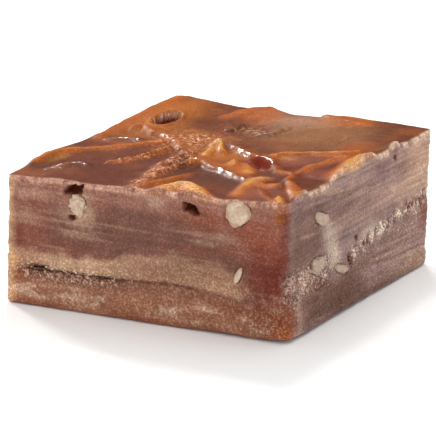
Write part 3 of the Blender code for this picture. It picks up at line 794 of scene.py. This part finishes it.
def on_cut(side, run, height):
    """Where a place on a cut lies, from its x or y along the cut and its height."""
    axis, fixed = {"front": (0, 0), "right": (1, 1), "back": (0, 1), "left": (1, 0)}[side]
    run = np.atleast_1d(np.asarray(run, float))

    def place(share):
        shares = (share, fixed + 0 * share) if axis == 0 else (fixed + 0 * share, share)
        return plan_point(*shares, height)

    first, last = place(0 * run), place(1 + 0 * run)
    x, y = place((run - first[axis]) / (last[axis] - first[axis]))
    return np.stack((x, y, height + 0 * run), axis=-1).squeeze()


def cut_axes(side, run, height):
    """The middle and the axes of a cut there: along the cut, up it and out of the slice."""
    middle = on_cut(side, run, height)
    along = on_cut(side, run + 1, height) - middle
    up = on_cut(side, run, height + 1) - middle
    along, up = (step / np.linalg.norm(step) for step in (along, up))
    return middle, along, up, np.cross(along, up)


def nut_piece(name, look):
    """A nut piece sliced through just proud of the cut, with a rough face and blunt corners."""
    side, middle, halves, tilt, corners, ragged = NUT_SHAPES[name]
    mesh = bmesh.new()
    bmesh.ops.create_icosphere(mesh, subdivisions=5, radius=1)
    ball = np.array([vert.co for vert in mesh.verts])
    angle = np.arctan2(ball[:, 1], ball[:, 0])
    x, y, z = (ball * halves).T
    lumps = noise_at(x, y, z, 1.5, seed=20 + corners)
    grit = noise_at(x, y, z, 0.6, seed=21)
    swelling = blunt(angle, corners) + (0.06 + 0.25 * ragged) * lumps + 0.3 * ragged * grit
    along, up = x * swelling, y * swelling
    out = z * (1 + 0.07 * lumps) + 0.03 * grit
    face = NUT_PROUD + (0.06 + 0.5 * ragged) * lumps + (0.05 + 0.35 * ragged) * grit - 0.25 * ragged
    sliced = out > face
    out = np.where(sliced, face + 0.04 * (out - face), out)
    turn = math.radians(tilt)
    along, up = along * math.cos(turn) - up * math.sin(turn), along * math.sin(turn) + up * math.cos(turn)
    place, *axes = cut_axes(side, *middle)
    places = place + np.outer(along, axes[0]) + np.outer(up, axes[1]) + np.outer(out, axes[2])
    for vert, at in zip(mesh.verts, places * MM):
        vert.co = at
    bmesh.ops.recalc_face_normals(mesh, faces=mesh.faces)
    paint = painted("nut", len(x))
    rim = np.hypot(x / halves[0], y / halves[1])
    lay(paint, "nut_shade", 0.9 * ease(lumps + 0.8 * grit, -0.4, 0.7))
    lay(paint, "cream", 0.5 * ease(-lumps + 0.6 * grit, 0.2, 0.9))
    lay(paint, "nut_skin", 0.8 * ease(rim + 0.2 * lumps + 0.1 * grit, 0.75, 1.02))
    lay(paint, "nut_skin", 0.7 * ragged * ease(-grit, 0.1, 0.6))
    lay(paint, "cream", ragged * ease(lumps + grit, -0.2, 0.6))
    # Nuts in the right cut take the same painted light, paler and greyer.
    if side == "right":
        lay(paint, "mauve", 0.35 + 0 * x)
    return finished(name + "_flesh", mesh, look, [name], paint, {})


# Where crumbs lie: the side, how many, where they start and end along it, and their largest size.
CRUMB_FIELDS = [
    ("right", 110, (-5, 27), 0.45),
    ("right", 50, (-28, -8), 0.45),
    ("front", 60, (-26, -2), 0.4),
    ("front", 20, (4, 20), 0.3),
    ("back", 60, (-28, 27), 0.4),
    ("left", 60, (-28, 28), 0.4),
]
CRUMB_SEED = 5


def crumbs(look):
    """Sugar crumbs that the knife left along the seam, one mesh of small uneven lumps."""
    draw = np.random.default_rng(CRUMB_SEED)
    # Without a seed, noise_vector gives other crumbs on each run.
    noise.seed_set(CRUMB_SEED)
    to_metres = Matrix.Scale(MM, 4)
    mesh = bmesh.new()
    tints = []
    for side, count, (start, end), largest in CRUMB_FIELDS:
        for run in draw.uniform(start, end, count):
            x, y, _ = on_cut(side, run, SLAB_HEIGHT / 2)
            low, high = seam_height(x, y), pale_height(x, y)
            height = low + draw.normal(0.2, 0.35) * min(high - low, 2.2)
            middle, *axes = cut_axes(side, run, height)
            size = largest * draw.uniform(0.3, 1.0)
            turned = Matrix(axes).transposed().to_4x4()
            spin = Matrix.Rotation(draw.uniform(0, math.tau), 4, "Z")
            length, width = draw.uniform(0.7, 1.4), draw.uniform(0.6, 1.0)
            shape = Matrix.Diagonal((size * length, size * width, size * 0.6, 1))
            place = to_metres @ (Matrix.Translation(middle) @ turned @ spin @ shape)
            made = bmesh.ops.create_icosphere(mesh, subdivisions=1, radius=0.5, matrix=place)
            for vert in made["verts"]:
                vert.co += 0.18 * size * MM * noise.noise_vector(vert.co / (0.25 * MM))
            tints += [draw.uniform(0, 1)] * len(made["verts"])
    paint = painted("pale", len(mesh.verts))
    lay(paint, "cream", np.array(tints) * 0.7)
    return finished("sugar_crumbs", mesh, look, [], paint, {"crumbly": 1 + 0 * np.array(tints)})


def linear(hex_colour):
    """The linear colour of an sRGB hex value."""
    parts = [int(hex_colour[start : start + 2], 16) / 255 for start in (1, 3, 5)]
    return (*(c / 12.92 if c <= 0.04045 else ((c + 0.055) / 1.055) ** 2.4 for c in parts), 1)


def fill_inputs(node, values):
    """Gives a node's inputs a value or another node's output, by name or in the node's own order."""
    for socket, value in values.items() if isinstance(values, dict) else enumerate(values):
        if isinstance(value, bpy.types.NodeSocket):
            node.id_data.links.new(value, node.inputs[socket])
        else:
            node.inputs[socket].default_value = value


def add_node(tree, kind, inputs=(), output=0, **settings):
    """Adds a node and gives one of its outputs. The settings name its properties."""
    node = tree.nodes.new("ShaderNode" + kind)
    for name, value in settings.items():
        setattr(node, name, value)
    fill_inputs(node, inputs)
    return node.outputs[output] if node.outputs else None


def new_material(name):
    """A material with a Principled shader on its output, its node tree and that shader."""
    made = bpy.data.materials.new(name)
    made.use_nodes = True
    tree = made.node_tree
    tree.nodes.clear()
    surface = add_node(tree, "BsdfPrincipled")
    add_node(tree, "OutputMaterial", {"Surface": surface})
    return made, tree, surface.node


def cut_fudge(name, streak, grain):
    """Boiled sugar fudge cut with a knife: a satin, waxy face with fine drag streaks and sugar grain, and a
    poured top whose skin is sealed with butter and glossy."""
    made, tree, shader = new_material(name)
    place = add_node(tree, "TexCoord", output="Object")
    paint = add_node(tree, "Attribute", attribute_name="paint")
    gloss, crumbly, drawn = (
        add_node(tree, "Attribute", output="Fac", attribute_name=mask)
        for mask in ("gloss", "crumbly", "drawn")
    )
    # Streaks the knife drew: about 10 mm long and 0.4 mm high.
    per_streak = (1 / (20 * MM), 1 / (20 * MM), 1 / (0.8 * MM))
    along = add_node(tree, "Mapping", {"Vector": place, "Rotation": (0.08, 0.02, 0), "Scale": per_streak})
    streaks = add_node(
        tree, "TexNoise", {"Vector": along, "Scale": 1, "Detail": 3, "Roughness": 0.6, "Distortion": 0.4}
    )
    # Sugar grain: crystals of about 0.25 mm, drawn coarser than the real ones so that they show.
    grains = add_node(
        tree, "TexNoise", {"Vector": place, "Scale": 1 / (0.42 * MM), "Detail": 2, "Roughness": 0.6}
    )
    # Clouds where the sugar set at different speeds: about 2 mm.
    clouds = add_node(tree, "TexNoise", {"Vector": place, "Scale": 1 / (4 * MM), "Detail": 4})

    # Each range below is the value, its lowest and highest, and what they become. The poured skin hides the
    # streaks and the grain.
    matt = add_node(tree, "MapRange", (gloss, 0, 1, 1, 0))
    swing = add_node(tree, "MapRange", (streaks, 0.3, 0.7, -1, 1))
    strength = add_node(tree, "Math", (drawn, streak), operation="MULTIPLY")
    streaked = add_node(tree, "Math", (swing, strength), operation="MULTIPLY")
    # Painted glints: single crystals are painted lighter than an even ground. Where it crumbles they stand
    # apart, with painted shade in the gaps between.
    contrast = add_node(tree, "MapRange", (crumbly, 0, 1, grain, 1.1))
    glints = add_node(tree, "MapRange", (grains, 0.44, 0.66, -0.35, 1))
    grained = add_node(tree, "Math", (glints, contrast), operation="MULTIPLY")
    clouded = add_node(tree, "MapRange", (clouds, 0.3, 0.7, 0.86, 1.1))
    fine = add_node(tree, "Math", (streaked, grained), operation="ADD")
    light = add_node(tree, "Math", (fine, matt, clouded), operation="MULTIPLY_ADD")
    # The crystals with painted glints are paler as well as lighter.
    depth = add_node(tree, "MapRange", (light, 1.15, 1.8, 1, 0.7))
    colour = add_node(tree, "HueSaturation", {"Color": paint, "Value": light, "Saturation": depth})

    # Relief too fine for the mesh: sugar grain and the finest of the drag lines.
    drags = add_node(tree, "Math", (streaks, drawn), operation="MULTIPLY")
    rough = add_node(tree, "Math", (drags, 0.8, grains), operation="MULTIPLY_ADD")
    amount = add_node(tree, "MapRange", (crumbly, 0, 1, 0.45, 1))
    smooth = add_node(tree, "Math", (gloss, -0.15, amount), operation="MULTIPLY_ADD")
    relief = add_node(tree, "Bump", {"Strength": smooth, "Distance": 0.25 * MM, "Height": rough})
    # The wet folds ripple in waves of about half a millimetre, which break their highlights up.
    ripples = add_node(tree, "TexNoise", {"Vector": place, "Scale": 1 / MM, "Detail": 1})
    rippled = add_node(tree, "Bump", {"Strength": 1, "Distance": 0.2 * MM, "Height": ripples})
    looks = {
        "Base Color": colour,
        "Roughness": add_node(tree, "MapRange", (gloss, 0, 1, 0.6, 0.25)),
        "Coat Weight": add_node(tree, "MapRange", (gloss, 0.3, 1, 0, 1)),
        "Coat Roughness": 0.07,
        "IOR": 1.42,
        "Specular IOR Level": 0.18,
        "Subsurface Weight": 0.12,
        "Subsurface Radius": (1.0, 0.4, 0.2),
        "Subsurface Scale": 0.8 * MM,
        "Normal": relief,
        "Coat Normal": rippled,
    }
    fill_inputs(shader, looks)
    return made


def nut_flesh():
    """Roasted nut sliced through: dry, cream-coloured flesh, mottled, and browner towards its skin."""
    made, tree, shader = new_material("cut_nut_flesh")
    place = add_node(tree, "TexCoord", output="Object")
    paint = add_node(tree, "Attribute", attribute_name="paint")
    # Mottles of about 0.3 mm.
    mottle = add_node(tree, "TexNoise", {"Vector": place, "Scale": 1 / (0.6 * MM), "Detail": 4})
    light = add_node(tree, "MapRange", (mottle, 0.3, 0.7, 0.85, 1.12))
    looks = {
        "Base Color": add_node(tree, "HueSaturation", {"Color": paint, "Value": light}),
        "Roughness": 0.62,
        "IOR": 1.45,
        "Subsurface Weight": 0.2,
        "Subsurface Radius": (1.0, 0.7, 0.4),
        "Subsurface Scale": 0.8 * MM,
        "Normal": add_node(tree, "Bump", {"Strength": 0.7, "Distance": 0.08 * MM, "Height": mottle}),
    }
    fill_inputs(shader, looks)
    return made


class FudgeSizes(bpy.types.PropertyGroup):
    """Sizes of the surface detail."""


class FudgeColours(bpy.types.PropertyGroup):
    """Colours of the fudge, the caramel and the nuts."""


class FudgeStage(bpy.types.PropertyGroup):
    """The camera's place and the strength of the lights."""


SIZES = {
    "cell": (0.3 * MM, "Spacing of the mesh on the sides and the top"),
    "crack": (0.6 * MM, "Width of the open seam under the pale layer"),
}
COLOURS = {
    "plum": ("#7a5044", "Middle of the chocolate layer"),
    "rosy": ("#98685a", "Top of the chocolate layer on the front cut"),
    # Mauve: the chocolate layer on the right cut, painted paler and greyer for the light and sheen from the
    # right.
    "mauve": ("#9e807a", "Chocolate layer on the right cut"),
    "rosewood": ("#8c4a34", "Reddish parts of the cuts"),
    # Brick: the red of the caramel in the pit in the top, with painted shade on the pit's walls.
    "brick": ("#8a3420", "Where the wet pit in the top glows red"),
    # Maroon: the darkest red, for stains on the cuts, and for painted shade in the furrows, the pit and the
    # bubble in the top.
    "maroon": ("#6c2416", "Darkest red parts"),
    "rust": ("#84421e", "Glassy sugar at the near corner"),
    "umber": ("#6e4a3c", "Darkest brown of the cuts"),
    "base": ("#9c6a50", "Cut face of the base"),
    "pale": ("#bc9878", "The pale layer"),
    "fawn": ("#c4a086", "Mottles and streaks"),
    "tan": ("#c49c80", "Far end of the right cut"),
    "cream": ("#dcc6ae", "White crumbs and smears"),
    "honey": ("#e2b484", "Thin left edge"),
    # Peach: also paler along the broken rim, and painted light on the upper wall of the bubble in the top.
    "peach": ("#dcae90", "Dry sugar on the broken rim"),
    "crust": ("#e6c4a8", "Broken rim along the right cut"),
    "bark": ("#542a1a", "Shaded side of the folds"),
    # Cocoa is also painted shade in front of the main step.
    "cocoa": ("#622c16", "Poured skin where it is thick"),
    # Taupe: the skin at the back right, painted paler for the sheen there.
    "taupe": ("#8c5c3a", "Poured skin at the back"),
    "ochre": ("#ac601c", "Poured skin with caramel under it"),
    "amber": ("#a6541a", "Thin caramel"),
    "gold": ("#d09044", "Caramel on the crests"),
    # Pit: painted shade in the cracks, pits, bubbles and grooves of the cuts and in the bubble in the top.
    # One scratch uses it too.
    "pit": ("#5a2010", "Depth of a pit"),
    "nut": ("#d6c0a6", "Nut flesh"),
    "nut_shade": ("#b8987c", "Darker nut flesh"),
    "nut_skin": ("#a88468", "Nut near its skin"),
    "floor": ("#fbfbfa", "Floor"),
}
# The lights: power in watts, place, size in metres, colour and which light it is.
LIGHTS = {
    "key_light": (1.5, (-0.42, 0.22, 0.24), 0.1, (1, 0.98, 0.95), "at the back left"),
    "side_light": (0.6, (0.5, 0.1, 0.2), 0.3, (0.94, 0.97, 1), "on the right"),
    "top_light": (4.2, (0.0, 0.05, 0.6), 1.0, (1, 1, 1), "overhead"),
    "spark_light": (0.9, (-0.15, 0.29, 0.52), 0.08, (1, 1, 1), "that glints on the wet folds"),
    "fill_light": (2.25, (0.15, -0.6, 0.35), 0.5, (1, 1, 1), "in front"),
}
STAGE = {
    "azimuth": (math.radians(27.83), "How far the camera stands round to the right", {"subtype": "ANGLE"}),
    "elevation": (math.radians(17.15), "Height of the camera above the horizon", {"subtype": "ANGLE"}),
    "distance": (0.6, "From the camera to the slice", {"unit": "LENGTH"}),
    "lens": (260.4, "Focal length in millimetres", {}),
    "room": (0.06, "Brightness of the white room", {}),
}


def offer(group, key, kind, value, words, **settings):
    """Adds a property to a group."""
    label = key.replace("_", " ").capitalize()
    group.__annotations__[key] = kind(name=label, description=words, default=value, **settings)


for key, (value, words) in SIZES.items():
    offer(FudgeSizes, key, bpy.props.FloatProperty, value, words, unit="LENGTH", precision=5)
colour_field = {"size": 4, "subtype": "COLOR", "min": 0, "max": 1}
for key, (value, words) in COLOURS.items():
    offer(FudgeColours, key, bpy.props.FloatVectorProperty, linear(value), words, **colour_field)
for key, (value, words, settings) in STAGE.items():
    offer(FudgeStage, key, bpy.props.FloatProperty, value, words, **settings)
for key, (value, *_, words) in LIGHTS.items():
    offer(FudgeStage, key, bpy.props.FloatProperty, value, f"Power of the light {words}", unit="POWER")


class FUDGE_OT_base_layer(bpy.types.Operator):
    """The lower layer, from the underside up to the open seam"""

    bl_idname = "fudge.base_layer"
    bl_label = "Base layer"

    def execute(self, context):
        look = cut_fudge("base_fudge", 0.18, 0.52)
        layer_piece("base_slab", "base_layer", under_height, under_crack, 8, look)
        return {"FINISHED"}


class FUDGE_OT_pale_layer(bpy.types.Operator):
    """The thin pale layer that climbs towards the back"""

    bl_idname = "fudge.pale_layer"
    bl_label = "Pale layer"

    def execute(self, context):
        look = cut_fudge("pale_fudge", 0.1, 0.3)
        layer_piece("pale_band", "pale_layer", over_crack, pale_height, 3, look)
        return {"FINISHED"}


class FUDGE_OT_chocolate_layer(bpy.types.Operator):
    """The deep upper layer with its poured, folded top"""

    bl_idname = "fudge.chocolate_layer"
    bl_label = "Chocolate layer"

    def execute(self, context):
        look = cut_fudge("chocolate_fudge", 0.26, 0.36)
        layer_piece("chocolate_slab", "chocolate_layer", pale_height, None, 14, look)
        return {"FINISHED"}


class FUDGE_OT_nuts(bpy.types.Operator):
    """The nut pieces in the cut sides"""

    bl_idname = "fudge.nuts"
    bl_label = "Nut pieces"

    def execute(self, context):
        look = nut_flesh()
        for name in NUT_SHAPES:
            nut_piece(name, look)
        return {"FINISHED"}


class FUDGE_OT_crumbs(bpy.types.Operator):
    """Sugar crumbs along the seam"""

    bl_idname = "fudge.crumbs"
    bl_label = "Crumbs"

    def execute(self, context):
        crumbs(cut_fudge("sugar_crumb", 0.0, 0.2))
        return {"FINISHED"}


def aimed(name, data, place, way):
    """Puts a light or a camera at a place, looking the given way."""
    made = bpy.data.objects.new(name, data)
    made.location = place
    made.rotation_mode = "QUATERNION"
    made.rotation_quaternion = way.to_track_quat("-Z", "Y")
    bpy.context.scene.collection.objects.link(made)
    return made


class FUDGE_OT_stage(bpy.types.Operator):
    """A pale floor, soft studio light and the camera"""

    bl_idname = "fudge.stage"
    bl_label = "Stage"

    def execute(self, context):
        scene = context.scene
        stage = scene.fudge_stage
        made, _, shader = new_material("matt_white_paper")
        fill_inputs(shader, {"Base Color": scene.fudge_colours.floor, "Roughness": 0.9})
        mesh = bmesh.new()
        bmesh.ops.create_grid(mesh, x_segments=1, y_segments=1, size=FLOOR_HALF)
        bmesh.ops.translate(mesh, verts=mesh.verts, vec=(0, 0, -FLOOR_GAP))
        data = bpy.data.meshes.new("floor")
        mesh.to_mesh(data)
        mesh.free()
        data.materials.append(made)
        floor = bpy.data.objects.new("floor", data)
        scene.collection.objects.link(floor)

        scene.world = bpy.data.worlds.new("white_room")
        scene.world.use_nodes = True
        room = scene.world.node_tree.nodes["Background"]
        fill_inputs(room, {"Color": (1, 1, 1, 1), "Strength": stage.room})
        scene.view_settings.view_transform = "Standard"

        middle = Vector((0, 0, SLAB_HEIGHT / 2 * MM))
        for name, (_, place, size, colour, _) in LIGHTS.items():
            light = bpy.data.lights.new(name, "AREA")
            light.energy = getattr(stage, name)
            light.size = size
            light.color = colour
            aimed(name, light, Vector(place), middle - Vector(place))

        turn, rise = stage.azimuth, stage.elevation
        back = Vector((math.sin(turn) * math.cos(rise), -math.cos(turn) * math.cos(rise), math.sin(rise)))
        lens = bpy.data.cameras.new("camera")
        lens.lens = stage.lens
        lens.sensor_width = 36
        lens.clip_start = 0.01
        lens.clip_end = 10
        scene.camera = aimed("camera", lens, Vector(AIM) * MM + back * stage.distance, -back)
        return {"FINISHED"}


OPERATORS = (
    FUDGE_OT_stage,
    FUDGE_OT_base_layer,
    FUDGE_OT_pale_layer,
    FUDGE_OT_chocolate_layer,
    FUDGE_OT_nuts,
    FUDGE_OT_crumbs,
)


class FUDGE_PT_panel(bpy.types.Panel):
    """Lists the slice's sizes, colours and pieces"""

    bl_idname = "FUDGE_PT_panel"
    bl_label = "Layered fudge"
    bl_space_type = "VIEW_3D"
    bl_region_type = "UI"
    bl_category = "Fudge"

    def draw(self, context):
        for group in (context.scene.fudge_sizes, context.scene.fudge_colours, context.scene.fudge_stage):
            box = self.layout.box()
            for name in group.__annotations__:
                box.prop(group, name)
        for operator in OPERATORS:
            self.layout.operator(operator.bl_idname)


GROUPS = {"fudge_sizes": FudgeSizes, "fudge_colours": FudgeColours, "fudge_stage": FudgeStage}


def register():
    for made in (*GROUPS.values(), *OPERATORS, FUDGE_PT_panel):
        bpy.utils.register_class(made)
    for name, group in GROUPS.items():
        setattr(bpy.types.Scene, name, bpy.props.PointerProperty(type=group))


def unregister():
    for name in GROUPS:
        delattr(bpy.types.Scene, name)
    for made in reversed((*GROUPS.values(), *OPERATORS, FUDGE_PT_panel)):
        bpy.utils.unregister_class(made)


def main():
    register()
    bpy.ops.fudge.stage()
    bpy.ops.fudge.base_layer()
    bpy.ops.fudge.pale_layer()
    bpy.ops.fudge.chocolate_layer()
    bpy.ops.fudge.nuts()
    bpy.ops.fudge.crumbs()


if __name__ == "__main__":
    main()
